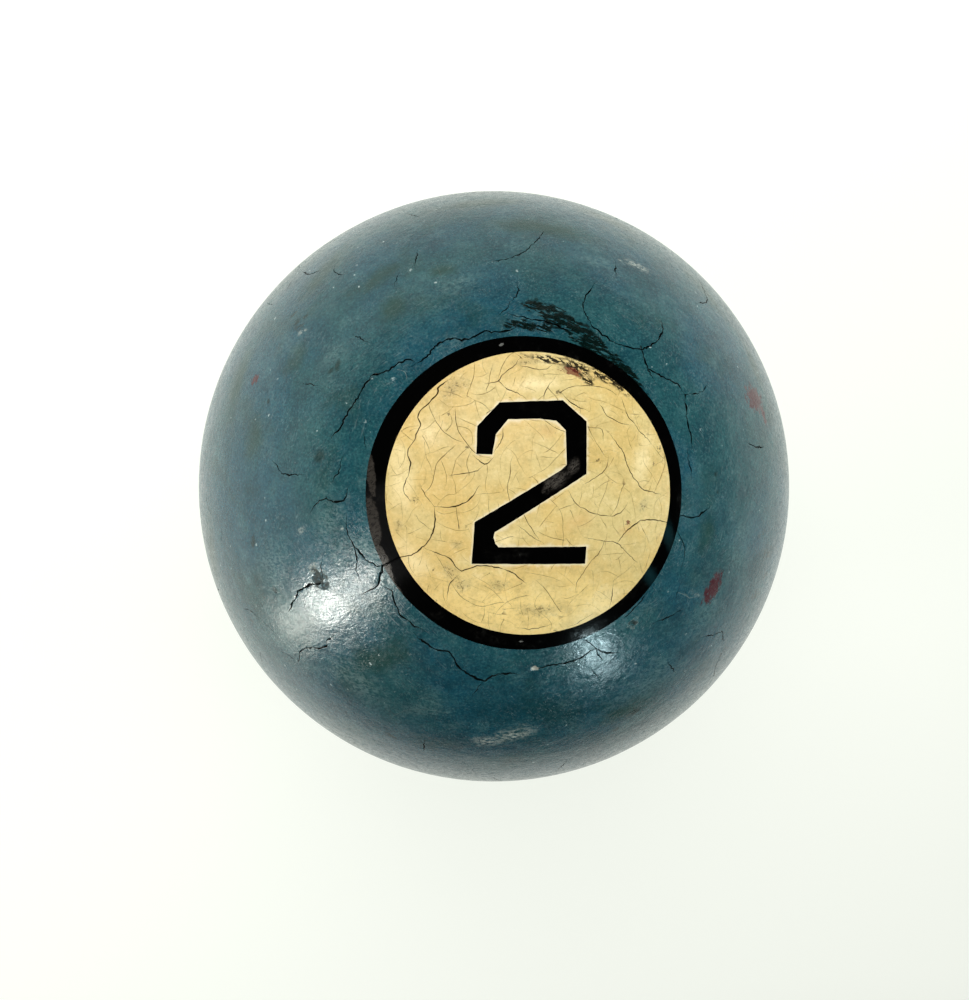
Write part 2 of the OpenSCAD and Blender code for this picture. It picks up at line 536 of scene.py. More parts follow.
# ---------------------------------------------------------------- surface
# Across a crack, in half widths from its middle: how deep it is, and how dark
WORN_AT = (0, 0.95, 1.5)
WORN_DEPTH = (1, 0, 0)
WORN_DARK = (1, 0.3, 0)
HAIR_AT = (0, 1, 1.01)
HAIR_DEPTH = (1, 0, 0)
HAIR_DARK = (1, 0, 0)


def rows(crack):
    """The lines that a crack's groove needs: its middle, its lips and their worn edge."""
    offsets = (-1.5, -0.95, 0, 0.95, 1.5) if crack.worn else (-1, 0, 1)
    line = crack.line
    out = []
    for offset in offsets:
        row = []
        for i, p in enumerate(line):
            ahead = line[min(i + 1, len(line) - 1)] - line[max(i - 1, 0)]
            across = p.cross(ahead).normalized()
            row.append((p + across * (offset * crack.halves[i] / BALL_R)).normalized())
        out.append(row)
    return out


class Surface:
    """Triangles over part of the ball, with the groove depth and darkness at each point."""

    def __init__(self, cracks, outlines, base, inside, keep_off):
        self.points = []
        self.edges = []
        for crack in cracks:
            for row in rows(crack):
                self.add_line([p for p in row if inside(p)], False)
        for outline in outlines:
            self.add_line(outline, True)
        tree = tree_of(self.points)
        for p in base:
            if tree.find(p)[2] * BALL_R > keep_off(p):
                self.points.append(p)
        chart = [to_chart(p) for p in self.points]
        found = delaunay_2d_cdt(chart, self.edges, [], 0, 1e-7)
        self.spots = [from_chart(c) for c in found[0]]
        self.faces = np.array(found[2])
        self.middles = np.array(found[0])[self.faces].mean(1)

    def add_line(self, line, closed):
        first = len(self.points)
        self.points += line
        last = len(self.points) - 1
        self.edges += [(i, i + 1) for i in range(first, last)]
        if closed:
            self.edges.append((last, first))

    def within(self, outline):
        """Which triangles lie inside an outline."""
        return within([to_chart(p) for p in outline], self.middles)


def even_spots(step, inside):
    """Evenly spread directions, step apart, on the part of the ball that is wanted."""
    count = int(4 * math.pi * BALL_R ** 2 / (step * step * NET_SHARE))
    golden = math.pi * (3 - math.sqrt(5))
    shake = random.Random(3)
    spots = []
    for i in range(count):
        z = 1 - (2 * i + 1) / count
        side = math.sqrt(1 - z * z)
        a = golden * i
        p = Vector((side * math.cos(a), side * math.sin(a), z))
        if inside(p):
            p += Vector([shake.uniform(-0.2, 0.2) * step / BALL_R for _ in range(3)])
            spots.append(p.normalized())
    return spots


def chip_spots():
    """Close-set directions in and round each chip."""
    spots = []
    for (x, y), radius, _, _ in CHIPS:
        reach = int(1.5 * radius / CHIP_STEP)
        for i in range(-reach, reach + 1):
            for j in range(-reach, reach + 1):
                if math.hypot(i, j) <= reach:
                    across = CHIP_STEP * i + CHIP_STEP / 2 * (j % 2)
                    spots.append(place(x + across, y + 0.875 * CHIP_STEP * j))
    return spots


class Relief:
    """Depth below the true sphere, and the marks that go with it, anywhere on the ball."""

    def __init__(self, cracks):
        starts, ends, facts = [], [], []
        for crack in cracks:
            starts += crack.line[:-1]
            ends += crack.line[1:]
            facts += [(a, b, crack.depth, crack.dark, crack.worn)
                      for a, b in zip(crack.halves, crack.halves[1:])]
        self.tree = tree_of([(a + b) / 2 for a, b in zip(starts, ends)])
        self.starts = np.array([tuple(p) for p in starts]) * BALL_R
        self.ends = np.array([tuple(p) for p in ends]) * BALL_R
        self.facts = np.array(facts)

    def grooves(self, spots):
        """Depth and darkness of the cracks at each spot, and paleness of the scratches."""
        reach = GROOVE_REACH / BALL_R
        pairs = [(v, i) for v, p in enumerate(spots)
                 for co, i, gap in self.tree.find_range(p, reach)]
        depth, dark, pale = np.zeros((3, len(spots)))
        if not pairs:
            return depth, dark, pale
        pairs = np.array(pairs)
        v, seg = pairs[:, 0], pairs[:, 1]
        p = np.array([tuple(q) for q in spots])[v] * BALL_R
        a, b = self.starts[seg], self.ends[seg]
        along = b - a
        t = np.clip(((p - a) * along).sum(1) / np.maximum((along ** 2).sum(1), 1e-9), 0, 1)
        gap = np.linalg.norm(p - a - along * t[:, None], axis=1)
        facts = self.facts[seg]
        half = facts[:, 0] + (facts[:, 1] - facts[:, 0]) * t
        at = gap / half
        worn = facts[:, 4] > 0.5
        deep = np.where(worn, np.interp(at, WORN_AT, WORN_DEPTH),
                        np.interp(at, HAIR_AT, HAIR_DEPTH))
        shade = np.where(worn, np.interp(at, WORN_AT, WORN_DARK),
                         np.interp(at, HAIR_AT, HAIR_DARK))
        open_now = np.minimum(1, half / np.maximum(facts[:, 2] / 2.2, 0.02))
        np.maximum.at(depth, v, deep * facts[:, 2] * open_now)
        np.maximum.at(dark, v, shade * facts[:, 3])
        np.maximum.at(pale, v, shade * -facts[:, 3])
        return depth, dark, pale

    def chips(self, spots):
        """Depth of the chips at each spot, how near it is to one, and how pale it is."""
        depth, near, pale = np.zeros((3, len(spots)))
        for (x, y), radius, deep, shows in CHIPS:
            centre = place(x, y)
            for v, p in enumerate(spots):
                gap = (p - centre).length * BALL_R
                if gap > 2 * radius:
                    continue
                q = p * BALL_R
                rim = radius * (1 + 0.7 * noise.noise(q * 2.4))
                rough = 0.8 + 0.5 * noise.noise(q * 5)
                share = max(0, 1 - (gap / rim) ** 2)
                depth[v] = max(depth[v], deep * math.sqrt(share) * rough)
                near[v] = max(near[v], (1 - shows) * min(1, 1.6 - gap / rim))
                pale[v] = max(pale[v], shows * min(1, 3 * share))
        return depth, near, pale

    def waves(self, spots):
        """The slight unevenness of an old ball, which is never above the true sphere."""
        depth = []
        for p in spots:
            q = p * BALL_R
            slow = noise.noise(q / 8.5)
            quick = noise.noise(q / 2.6 + Vector((9, 4, 1)))
            depth.append(WAVE_DEPTH * (0.5 + 0.4 * slow) + 0.006 * (0.5 + 0.5 * quick))
        return np.array(depth)


# ---------------------------------------------------------------- solid pieces
def loops_of(faces):
    """The closed boundary loops of some triangles, each a list of points in order."""
    follows = {}
    for a, b, c in faces:
        for edge in ((a, b), (b, c), (c, a)):
            follows[edge] = follows.get(edge, 0) + 1
    after = {a: b for a, b in follows if (b, a) not in follows}
    loops = []
    while after:
        start, here = after.popitem()
        loop = [start]
        while here != start:
            loop.append(here)
            here = after.pop(here)
        loops.append(loop)
    return loops


def fill_between(loops):
    """Triangles that fill flat loops, leaving the holes that inner loops make."""
    points = [p for loop in loops for p in loop]
    edges = []
    first = 0
    for loop in loops:
        edges += [(first + i, first + (i + 1) % len(loop)) for i in range(len(loop))]
        first += len(loop)
    found = delaunay_2d_cdt([Vector(p) for p in points], edges, [], 0, 1e-6)
    faces = np.array(found[2])
    middles = np.array(found[0])[faces].mean(1)
    inside = np.zeros(len(faces), bool)
    for loop in loops:
        inside ^= within(loop, middles)
    return [[found[3][i][0] for i in face] for face in faces[inside]]


class Piece:
    """One closed solid: its share of the surface, walls down to its floors, and those."""

    def __init__(self, name, surface, mask, floor_of, flip=False):
        faces = surface.faces[mask]
        used, local = np.unique(faces, return_inverse=True)
        self.name = name
        self.faces = [tuple(f) for f in local.reshape(-1, 3)]
        # How many faces lie on the ball's own surface, which are shaded smooth
        self.outer = len(self.faces)
        self.points = [surface.solid[i] for i in used]
        self.marks = {name: [values[i] for i in used]
                      for name, values in surface.marks.items()}
        by_floor = {}
        for loop in loops_of(self.faces):
            below = self.wall(loop, floor_of(loop, self.points))
            by_floor.setdefault(self.points[below[0]].z, []).append(below)
        for loops in by_floor.values():
            self.floor(loops)
        if flip:
            self.points = [turned(p) for p in self.points]

    def add_point(self, p):
        self.points.append(p)
        for values in self.marks.values():
            values.append(0)
        return len(self.points) - 1

    def wall(self, loop, z):
        below = [self.add_point(Vector((self.points[i].x, self.points[i].y, z)))
                 for i in loop]
        for k in range(len(loop)):
            m = (k + 1) % len(loop)
            self.faces.append((loop[m], loop[k], below[k], below[m]))
        return below

    def floor(self, loops):
        flat = [[(self.points[i].x, self.points[i].y) for i in loop] for loop in loops]
        index = [i for loop in loops for i in loop]
        for face in fill_between(flat):
            self.faces.append(tuple(index[i] for i in face))

    def add_cavity(self, radius):
        """A round hollow for the core, facing inwards."""
        around, down = 72, 36
        top = self.add_point(Vector((0, 0, radius)))
        rings = []
        for j in range(1, down):
            z = radius * math.cos(math.pi * j / down)
            side = radius * math.sin(math.pi * j / down)
            turns = [2 * math.pi * i / around for i in range(around)]
            rings.append([self.add_point(Vector((side * math.cos(a), side * math.sin(a), z)))
                          for a in turns])
        bottom = self.add_point(Vector((0, 0, -radius)))
        cavity = []
        for i in range(around):
            m = (i + 1) % around
            cavity.append((top, rings[0][m], rings[0][i]))
            cavity.append((bottom, rings[-1][i], rings[-1][m]))
            for upper, lower in zip(rings, rings[1:]):
                cavity.append((upper[i], upper[m], lower[m], lower[i]))
        return cavity

    def build(self, material, slot, cavity=()):
        """Makes the object. The cavity's faces are added last, as they face inwards."""
        mesh = bpy.data.meshes.new(self.name)
        mesh.from_pydata([p * MM for p in self.points], [], self.faces)
        work = bmesh.new()
        work.from_mesh(mesh)
        bmesh.ops.recalc_face_normals(work, faces=work.faces)
        work.verts.ensure_lookup_table()
        for face in cavity:
            work.faces.new([work.verts[i] for i in face])
        work.to_mesh(mesh)
        work.free()
        shade = np.zeros(len(mesh.polygons), bool)
        shade[:self.outer] = True
        shade[len(self.faces):] = True
        mesh.polygons.foreach_set("use_smooth", shade)
        mesh.set_sharp_from_angle(angle=math.radians(32))
        for name, values in self.marks.items():
            mesh.attributes.new(name, "FLOAT", "POINT")
            mesh.attributes[name].data.foreach_set("value", np.array(values, np.float32))
        mesh.materials.append(material)
        piece = bpy.data.objects.new(self.name, mesh)
        bpy.context.scene.collection.objects.link(piece)
        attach(piece, "root")
        return piece


def patch_axes(x, y, turn):
    """The middle of a patch as a direction, and its own axes as the columns of a matrix."""
    normal = place(x, y)
    side = Vector((1, 0, 0)) - normal * normal.x
    side = Matrix.Rotation(math.radians(turn), 3, normal) @ side.normalized()
    return normal, Matrix((side, normal.cross(side), normal)).transposed()


def nearness(patches, spots):
    """How near each spot is to a patch: FAR in a patch's middle, FAR - 1 at its edge."""
    spots = np.array([tuple(p) for p in spots])
    near = np.zeros(len(spots))
    for x, y, long, wide, turn in patches:
        middle, axes = patch_axes(x, y, turn)
        own = (spots - np.array(middle)) @ np.array(axes) * BALL_R / (long, wide, long)
        near = np.maximum(near, FAR - np.linalg.norm(own, axis=1))
    return near


def numeral_margin(spots, numeral):
    """1 along the numeral's outline, falling to 0 beside it."""
    tree = tree_of(numeral)
    return [max(0, 1 - tree.find(p)[2] * BALL_R / MARGIN) for p in spots]


def settle(surface, relief, turn, numeral):
    """Gives a surface its depth and marks. A turned one lies round the lower disc."""
    real = [turn(p) for p in surface.spots]
    depth, dark, scratched = relief.grooves(real)
    chipped, chip, pale = relief.chips(real)
    depth = np.maximum(depth, chipped) + relief.waves(real)
    surface.marks = {
        "crack": dark,
        "chip": chip,
        "pale": np.maximum(pale, scratched),
        "margin": numeral_margin(surface.spots, numeral),
        "olive": nearness(OLIVE_STAINS, real),
        "bloom": nearness(SOFT_BLOOM_AND_PAINTED_LIGHT, real),
        "smudge": nearness(SMUDGE, real),
    }
    surface.solid = [p * (BALL_R - d) for p, d in zip(surface.spots, depth)]


def same(p):
    return p


def to_socket(loop, points):
    """The floor of a loop: the numeral's pocket is shallower than the disc's socket."""
    far = max(math.hypot(points[i].x, points[i].y) for i in loop)
    return POCKET_Z if far < 0.8 * DISC_R else SOCKET_Z


def to_either_socket(loop, points):
    return SOCKET_Z if points[loop[0]].z > 0 else -SOCKET_Z


def disc_pieces(surface, outlines, prefix, flip):
    """The ring, the disc and the numeral of one end."""
    ring, disc, numeral = [surface.within(outline) for outline in outlines]
    shares = [("_ring", ring & ~disc, "black_composition"),
              ("_disc", disc & ~numeral, "cream_composition"),
              ("_numeral", numeral, "black_composition")]
    return [(Piece(prefix + name, surface, mask, to_socket, flip), slot)
            for name, mask, slot in shares]


def medallion_outlines(seed):
    """The outlines of a number disc: ring, disc and numeral."""
    return [oval(RING_R, 0, seed), oval(DISC_R, DISC_SHIFT, seed + 3),
            numeral_outline(seed + 5)]


def spacing(p):
    """How far the plain points keep off the points of cracks and outlines."""
    return 0.17 if abs(p.z) > math.cos(RING_R / BALL_R) else 0.2


def make_pieces():
    """All the visible pieces of the ball, not yet built as objects."""
    cracks = make_cracks()
    relief = Relief(cracks)
    upper = medallion_outlines(1.5)
    lower = medallion_outlines(8.5)
    # The plain points change their spacing just outside the ring
    edge = math.cos((RING_R * 1.03) / BALL_R)
    top = even_spots(DISC_STEP, lambda p: p.z > edge)
    rest = even_spots(BASE_STEP, lambda p: -edge < p.z < edge)
    chips = chip_spots()
    lower_edge = [turned(p) for p in lower[0]]
    lower_edge.reverse()
    # The whole ball's surface ends inside the lower ring, where the lower end's begins
    lower_limit = -math.cos((RING_R - 1.6) / BALL_R)
    whole = Surface(cracks, upper + [lower_edge], top + rest + chips,
                    lambda p: p.z > lower_limit, spacing)
    settle(whole, relief, same, upper[2])
    turned_cracks = [c._replace(line=[turned(p) for p in c.line]) for c in cracks]
    end = Surface(turned_cracks, lower, top, lambda p: p.z > edge * 0.985, spacing)
    settle(end, relief, turned, lower[2])
    ring = whole.within(upper[0])
    shell = whole.within(lower_edge)
    cover = Piece("ball_cover", whole, shell & ~ring, to_either_socket)
    pieces = [(cover, "blue_composition")]
    pieces += disc_pieces(whole, upper, "upper", False)
    pieces += disc_pieces(end, lower, "lower", True)
    return pieces


# ---------------------------------------------------------------- materials
class Nodes:
    """Short names for building a node tree."""

    def __init__(self, tree):
        self.tree = tree

    def node(self, kind, **settings):
        made = self.tree.nodes.new(kind)
        for key, value in settings.items():
            setattr(made, key, value)
        return made

    def feed(self, value, socket):
        """Links an output to a socket, or gives the socket a plain value."""
        if hasattr(value, "is_output"):
            self.tree.links.new(value, socket)
        elif hasattr(socket.default_value, "__len__") and len(socket.default_value) == 4:
            socket.default_value = (*value, 1)
        else:
            socket.default_value = value

    def math(self, operation, a, b=0.0, clamp=False):
        made = self.node("ShaderNodeMath", operation=operation, use_clamp=clamp)
        self.feed(a, made.inputs[0])
        self.feed(b, made.inputs[1])
        return made.outputs[0]

    def times(self, a, b):
        return self.math("MULTIPLY", a, b)

    def band(self, value, low, high, to_low=0.0, to_high=1.0, kind="SMOOTHSTEP"):
        """A step of value from low to high, smooth where nothing else is asked."""
        made = self.node("ShaderNodeMapRange", interpolation_type=kind)
        limits = (value, low, high, to_low, to_high)
        for limit, socket in zip(limits, ("Value", "From Min", "From Max", "To Min", "To Max")):
            self.feed(limit, made.inputs[socket])
        return made.outputs["Result"]

    def mix(self, amount, a, b):
        made = self.node("ShaderNodeMix", data_type="RGBA")
        self.feed(amount, made.inputs[0])
        self.feed(a, made.inputs[6])
        self.feed(b, made.inputs[7])
        return made.outputs[2]

    def along(self, where, direction):
        """How far a place lies along a direction."""
        made = self.node("ShaderNodeVectorMath", operation="DOT_PRODUCT")
        self.feed(where, made.inputs[0])
        self.feed(direction, made.inputs[1])
        return made.outputs["Value"]

    def length(self, vector):
        made = self.node("ShaderNodeVectorMath", operation="LENGTH")
        self.feed(vector, made.inputs[0])
        return made.outputs["Value"]


class Paint(Nodes):
    """One material and the colour laid on it so far, in millimetres on the ball."""

    def __init__(self, name, base):
        self.material = bpy.data.materials.new(name)
        self.material.use_nodes = True
        super().__init__(self.material.node_tree)
        self.shader = self.tree.nodes["Principled BSDF"]
        self.colour = base
        scaled = self.node("ShaderNodeVectorMath", operation="SCALE")
        self.feed(self.node("ShaderNodeTexCoord").outputs["Object"], scaled.inputs[0])
        self.feed(1 / MM, scaled.inputs["Scale"])
        self.where = scaled.outputs[0]

    def lay(self, amount, colour, share=None):
        """Lays a colour over what is there, as amount says, or only this share of it."""
        if share is not None:
            amount = self.times(amount, share)
        self.colour = self.mix(amount, self.colour, colour)

    def most(self, *values):
        """The largest of some values."""
        out = values[0]
        for value in values[1:]:
            out = self.math("MAXIMUM", out, value)
        return out

    def spread(self, where, shift, scale):
        """The places of a texture, shifted and scaled."""
        made = self.node("ShaderNodeMapping")
        self.feed(self.where if where is None else where, made.inputs["Vector"])
        self.feed(shift, made.inputs["Location"])
        self.feed(scale, made.inputs["Scale"])
        return made.outputs[0]

    def noise(self, size, detail=2.0, rough=0.5, stretch=(1, 1, 1), shift=0.0,
              where=None, twist=0.0):
        """Noise with features about size millimetres across, from 0 to 1."""
        scale = [1 / (s * size) for s in stretch]
        made = self.node("ShaderNodeTexNoise")
        self.feed(self.spread(where, (shift, 0.7 * shift, -shift), scale), made.inputs["Vector"])
        for socket, value in (("Scale", 1), ("Detail", detail), ("Roughness", rough),
                              ("Distortion", twist)):
            made.inputs[socket].default_value = value
        return made.outputs["Fac"]

    def specks(self, size, radius, share, shift=0.0):
        """Small round specks, one at most in each cell of this size."""
        cells = self.node("ShaderNodeTexVoronoi")
        self.feed(self.spread(None, [shift] * 3, [1 / size] * 3), cells.inputs["Vector"])
        cells.inputs["Scale"].default_value = 1
        split = self.node("ShaderNodeSeparateColor")
        self.feed(cells.outputs["Color"], split.inputs[0])
        chosen = self.math("GREATER_THAN", split.outputs[0], 1 - share)
        uneven = self.band(self.noise(0.16, 1, 0.5, shift=shift), 0.3, 0.7, 0.4, 1.6)
        reach = self.times(self.times(split.outputs[1], radius / size), uneven)
        near = self.math("SUBTRACT", reach, cells.outputs["Distance"])
        return self.times(chosen, self.band(near, -0.02, 0.05))

    def dashes(self, turn, shift):
        """Fine, nearly straight scratches that run one way, in some places only."""
        fine = self.noise(0.11, 1, 0.5, (17, 1, 1.4), shift, where=self.turned_where(turn))
        places = self.band(self.noise(3, 3, 0.6, shift=shift + 30), 0.5, 0.64)
        return self.times(self.band(fine, 0.6, 0.7), places)

    def patch(self, x, y, long, wide, turn):
        """How far a point is from a map place: 0 there, and 1 at the patch's edge."""
        normal, axes = patch_axes(x, y, turn)
        local = self.node("ShaderNodeMapping", vector_type="TEXTURE")
        self.feed(self.where, local.inputs["Vector"])
        local.inputs["Location"].default_value = normal * BALL_R
        local.inputs["Rotation"].default_value = axes.to_euler()
        local.inputs["Scale"].default_value = (long, wide, long)
        return self.length(local.outputs[0])

    def stains(self, patches, soft=0.5, grain=1.2, ragged=1.1, shift=0.0, rag=None):
        """Blotchy stains in some patches, or in those that a mark of the mesh holds.

        From 0 to 1. rag is the noise at their edges.
        """
        if isinstance(patches, str):
            far = self.math("SUBTRACT", FAR, self.mark(patches))
        else:
            far = self.patch(*patches[0])
            for patch in patches[1:]:
                far = self.math("MINIMUM", far, self.patch(*patch))
        rag = self.noise(grain, 4, 0.6, shift=shift) if rag is None else rag
        rag = self.times(self.math("SUBTRACT", rag, 0.5), ragged)
        return self.band(self.math("ADD", far, rag), 1 - soft, 1.0, 1.0, 0.0)

    def turned_where(self, turn):
        """The place, turned about +Z, for streaks that run that way near the top."""
        made = self.node("ShaderNodeMapping")
        self.feed(self.where, made.inputs["Vector"])
        made.inputs["Rotation"].default_value = (0, 0, math.radians(-turn))
        return made.outputs[0]

    def mark(self, name):
        """A mark that the mesh carries."""
        return self.node("ShaderNodeAttribute", attribute_name=name).outputs["Fac"]

    def bump(self, height, depth, below=None):
        """Adds relief of this depth in millimetres, over another bump if given."""
        made = self.node("ShaderNodeBump")
        self.feed(height, made.inputs["Height"])
        made.inputs["Strength"].default_value = 1
        made.inputs["Distance"].default_value = depth * MM
        if below is not None:
            self.feed(below, made.inputs["Normal"])
        return made.outputs[0]

    def finish(self, roughness, normal):
        self.feed(self.colour, self.shader.inputs["Base Color"])
        self.feed(roughness, self.shader.inputs["Roughness"])
        self.feed(normal, self.shader.inputs["Normal"])
        return self.material


# Stains and marks, some of them painted light: map place, length, width and turn of each
OLIVE_STAINS = [
    (-11.6, 16.8, 2.4, 1.8, 60), (-21.2, 13, 2.4, 1.7, 50), (-13.5, 20.5, 4, 1.8, 20),
    (-3.2, 32.2, 6, 2.2, 5), (3, 26.6, 7, 2, -5), (12, 31.5, 5, 2.4, -20), (-25.8, 5.6, 3.6, 2, 80),
    (16.5, -3.5, 2.5, 1.5, 80), (-12.8, -14.8, 5, 2.2, 35), (10.4, -21.6, 3.4, 2, 10),
    (-7.2, 20.4, 1.8, 1.2, 0), (27, 14, 4, 1.6, 120), (-9, -40, 6, 3, 20), (30, -20, 5, 2, 60),
    (-36, -8, 5, 2.4, 100), (20, 40, 6, 2, 0), (-20, 24, 6, 2.4, 45), (-30, 12, 5, 2.4, 65),
    (22, 22, 5, 2, -40),
]
DARK_SPOTS = [
    (-16.5, 11.4, 0.75, 0.4, 70), (-17.1, 11, 0.5, 0.3, 30), (-17.8, 3.2, 0.85, 0.7, 40),
    (-22, 17.2, 0.6, 0.45, 60), (-28.4, -14.4, 0.45, 0.35, 0), (-12.6, -25.6, 0.9, 0.4, -20),
    (-24.2, 8.8, 0.4, 0.3, 90), (17.4, 1.6, 0.3, 0.3, 0), (17.6, 0, 0.2, 0.2, 0),
    (10.6, -24.4, 0.6, 0.4, 30), (12, -22, 1.1, 0.6, 20), (1.2, 16.9, 0.25, 0.25, 0),
    (-26, -5, 0.8, 0.4, 80), (-23.6, -9.6, 0.5, 0.4, 0), (26, -30, 1, 0.5, 0), (-20, 34, 0.9, 0.5, 40),
    (-22.8, 18.4, 0.7, 0.3, 20), (-21, 17.6, 0.4, 0.3, 0),
]
RED_MARKS = [
    (24.9, 9.4, 2, 1.35, 20), (26.3, 8, 1.3, 0.5, 120), (18, -8.9, 1.8, 1, 52),
    (-26.8, 11.6, 0.7, 0.5, 157),
]
FLAKED = [
    (25.2, -4.4, 1.3, 0.5, 0), (27.2, -6.6, 2.4, 0.8, -10), (26.3, -11.2, 2, 0.9, -20),
    (27.8, -9.2, 1.4, 0.6, -10), (-21.6, 16.4, 1.1, 0.6, 0), (-6, -38, 2, 1, 10),
]
WHITE_SCUFFS = [
    (-0.2, -23.3, 2.6, 1.4, 25), (-2.6, -24.4, 2, 1.1, 10), (12.3, 22.4, 1.7, 0.8, -10),
    (-18.7, -6.8, 0.8, 0.5, 60), (15.8, -9.2, 0.8, 0.3, -30), (3, 42, 3, 1, 0), (-21, 15.8, 0.7, 0.4, 0),
    (-19.8, -3.4, 0.7, 0.4, 40), (-15.6, -3, 0.4, 0.2, 60),
]
# Pale bloom patches: partly the composition's own bloom, partly painted light, as on the lower right and
# the left.
SOFT_BLOOM_AND_PAINTED_LIGHT = [
    (-5.8, 18.8, 3.4, 1.8, 20), (-17, 12.6, 3, 1.4, 30), (-23.4, -6.6, 4.5, 3, 80),
    (-16.8, -2.4, 3.5, 2.2, 60), (-9.4, -20.6, 4, 1.6, 20), (20, 18, 3, 2, -30), (15, -18, 4, 2, 40),
    (8, 22, 3, 1.6, 0), (13, -17.5, 5, 3, 50), (17.5, -11.5, 5, 3, 60), (21.4, -5.2, 5, 3, 75),
    (-15, -18.6, 5.5, 3, -35),
]
SMUDGE = [
    (1.6, 16, 2.6, 0.8, -10), (3.4, 14.6, 3, 1.2, -22), (5.6, 12.8, 2.8, 1.1, -32),
    (8.6, 10.3, 2.8, 0.8, -44), (0.3, 14.2, 3, 0.7, -6),
]
SMUDGE_CORES = [
    (3.2, 14.6, 1.8, 0.7, -22), (5.6, 12.7, 1.6, 0.8, -32), (8.8, 10.1, 1.9, 0.6, -44),
    (2.2, 16, 1.3, 0.4, -8),
]
DISC_SMUDGE = [
    (1.8, 11.1, 2.6, 0.45, -8), (4.2, 10.4, 2, 0.95, -25), (6.2, 9.9, 1.6, 0.65, -35),
    (7.6, 9.1, 1.6, 0.5, -42), (5, 9.3, 0.9, 0.4, -30),
]
# Grey-brown on the ring's left: partly wear and partly a painted reflection.
RING_WEAR_AND_REFLECTION = [
    (-12.95, 1.6, 2, 0.45, 96), (-12.75, -2.2, 2.6, 0.62, 102), (-12, -5.6, 2.4, 0.62, 116),
    (-10.8, -8.2, 1.2, 0.4, 128),
]
RING_FILM = [(12.2, -3.4, 2.4, 0.9, 106), (10.6, -7, 2, 0.9, 123)]
DISC_DIRT = [
    (-6, 8.8, 1.8, 1.2, 45), (-6.3, -6.4, 1.5, 1, 120), (-5.3, -7.4, 1.2, 0.8, 0), (-5.8, -4, 0.7, 0.5, 0),
    (-10.6, -2.6, 0.8, 0.6, 90), (9.6, -1, 1, 0.6, 60), (1, -9.6, 3, 0.8, 0), (-0.2, 10.8, 1.6, 0.4, 0),
    (-2.4, -7.4, 1.2, 0.7, 0),
]
# Paler cream patches: partly the cream's own tone and partly painted highlights near the disc's edge, as
# at its lower right.
PALE_CREAM_AND_HIGHLIGHTS = [
    (-10.3, 1.2, 4, 1.5, 95), (-9.4, -5.4, 2.6, 1.5, 125), (9.6, 3, 3.4, 1.4, 75), (6.2, -9.2, 3, 1.6, 35),
    (0.5, 9, 3.5, 1, 5), (-2.2, -3.8, 2, 1, 30), (-8, 5, 1.5, 2, 0),
]


